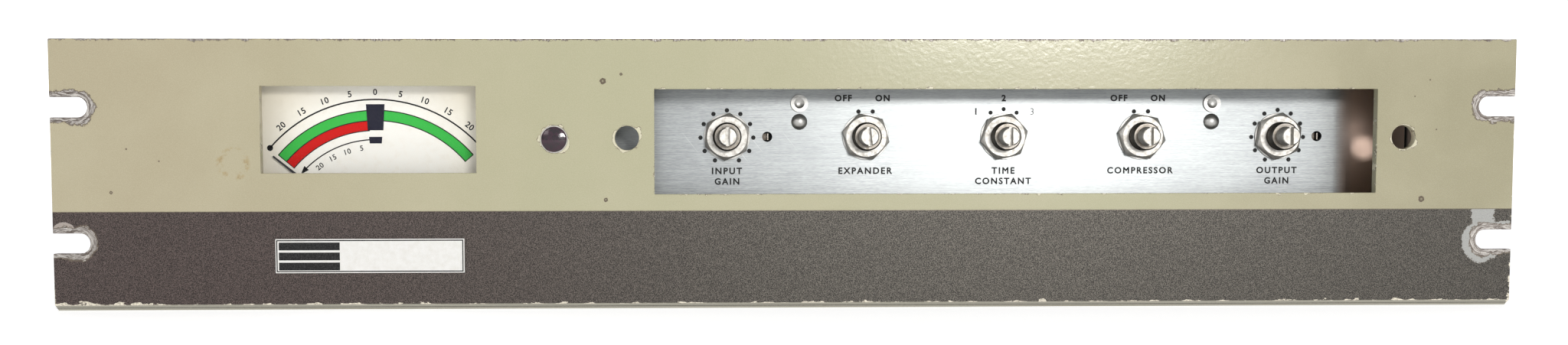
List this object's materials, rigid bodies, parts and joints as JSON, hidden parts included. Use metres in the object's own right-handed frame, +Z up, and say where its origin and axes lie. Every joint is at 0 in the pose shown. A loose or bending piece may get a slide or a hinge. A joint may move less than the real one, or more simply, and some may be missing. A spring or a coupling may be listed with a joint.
{
  "type": "rack compressor",
  "caption": "Rack-mounted audio compressor with a moving-coil meter, a pilot lamp and recessed screwdriver controls behind a window in its slotted panel.",
  "frame": {"origin": "centre of the rack slot pattern on the rear face of the front panel, which is the plane that meets the rack rails", "axes": "+X to the right as seen from the front, +Y back into the rack, +Z up; the front face looks along -Y"},
  "size_m": [0.4826, 0.252, 0.0888],
  "materials": {
    "panel_paint": "semi-gloss",
    "zinc_hardware": "satin",
    "badge_face": "gloss",
    "meter_moulding": "matte",
    "clear_lens": "gloss",
    "dial_paint": "matte",
    "brass": "satin",
    "magnet_steel": "matte",
    "copper_wire": "gloss",
    "pointer_paint": "satin",
    "jewel_glass": "gloss",
    "nickel_plate": "satin",
    "bulb_glass": "gloss",
    "brushed_plate": "brushed",
    "phenolic_sheet": "matte",
    "cup_steel": "satin",
    "chassis_zinc": "satin",
    "board_laminate": "satin",
    "resistor_body": "gloss",
    "capacitor_sleeve": "gloss",
    "film_resin": "gloss",
    "can_metal": "satin",
    "lamination_iron": "satin",
    "black_phenolic": "satin",
    "fuse_glass": "gloss"
  },
  "bodies": {
    "root": {"front_panel": "panel_paint", "panel_studs": "zinc_hardware", "panel_nuts": "zinc_hardware", "name_badge": "badge_face", "meter_case": "meter_moulding", "meter_lens": "clear_lens", "meter_dial": "dial_paint", "dial_screws": "brass", "meter_magnet": "magnet_steel", "meter_core": "magnet_steel", "meter_bridges": "brass", "pilot_jewel": "jewel_glass", "pilot_holder": "nickel_plate", "pilot_bulb": "bulb_glass", "control_plate": "brushed_plate", "plate_rivets": "nickel_plate", "plate_eyelets": "nickel_plate", "tag_strips": "phenolic_sheet", "tag_lugs": "brass", "control_bushings": "nickel_plate", "control_washers": "nickel_plate", "control_nuts": "nickel_plate", "control_lugs": "brass", "input_body": "cup_steel", "two_way_bodies": "cup_steel", "attack_body": "cup_steel", "output_body": "cup_steel", "chassis_tray": "chassis_zinc", "side_plates": "chassis_zinc", "rear_plate": "chassis_zinc", "corner_brackets": "zinc_hardware", "top_cover": "chassis_zinc", "case_screws": "zinc_hardware", "circuit_board": "board_laminate", "board_standoffs": "nickel_plate", "resistors": "resistor_body", "electrolytics": "capacitor_sleeve", "film_capacitors": "film_resin", "transistors": "can_metal", "power_core": "lamination_iron", "power_coil": "copper_wire", "input_transformer": "can_metal", "output_transformer": "lamination_iron", "filter_capacitor": "capacitor_sleeve", "capacitor_clamp": "can_metal", "terminal_strip": "black_phenolic", "terminal_screws": "nickel_plate", "fuse_holder": "black_phenolic", "cord_gland": "black_phenolic"},
    "pointer": {"meter_coil": "copper_wire", "meter_needle": "pointer_paint"},
    "input_control": {"input_shaft": "nickel_plate", "input_wiper": "brass"},
    "expansion_switch": {"expansion_shaft": "nickel_plate"},
    "attack_switch": {"attack_shaft": "nickel_plate"},
    "compression_switch": {"compression_shaft": "nickel_plate"},
    "output_control": {"output_shaft": "nickel_plate", "output_wiper": "brass"},
    "fuse_carrier": {"fuse_cap": "black_phenolic", "fuse_link": "fuse_glass"}
  },
  "joints": [
    {"name": "pointer_swing", "type": "hinge", "parent": "root", "child": "pointer", "pos_m": [-0.1386, 0, -0.0213], "axis": [0, 1, 0], "range_deg": [0, 101], "stiffness_Nm_per_rad": 0.00002},
    {"name": "input_turn", "type": "hinge", "parent": "root", "child": "input_control", "pos_m": [-0.0208, 0, 0.0124], "axis": [0, 1, 0], "range_deg": [-150, 150]},
    {"name": "expansion_turn", "type": "hinge", "parent": "root", "child": "expansion_switch", "pos_m": [0.0268, 0, 0.0124], "axis": [0, 1, 0], "range_deg": [0, 30]},
    {"name": "attack_turn", "type": "hinge", "parent": "root", "child": "attack_switch", "pos_m": [0.0744, 0, 0.0124], "axis": [0, 1, 0], "range_deg": [-30, 30]},
    {"name": "compression_turn", "type": "hinge", "parent": "root", "child": "compression_switch", "pos_m": [0.122, 0, 0.0124], "axis": [0, 1, 0], "range_deg": [0, 30]},
    {"name": "output_turn", "type": "hinge", "parent": "root", "child": "output_control", "pos_m": [0.1696, 0, 0.0124], "axis": [0, 1, 0], "range_deg": [-150, 150]},
    {"name": "fuse_pull", "type": "slide", "parent": "root", "child": "fuse_carrier", "axis": [0, 1, 0], "range_m": [0, 0.034]}
  ]
}
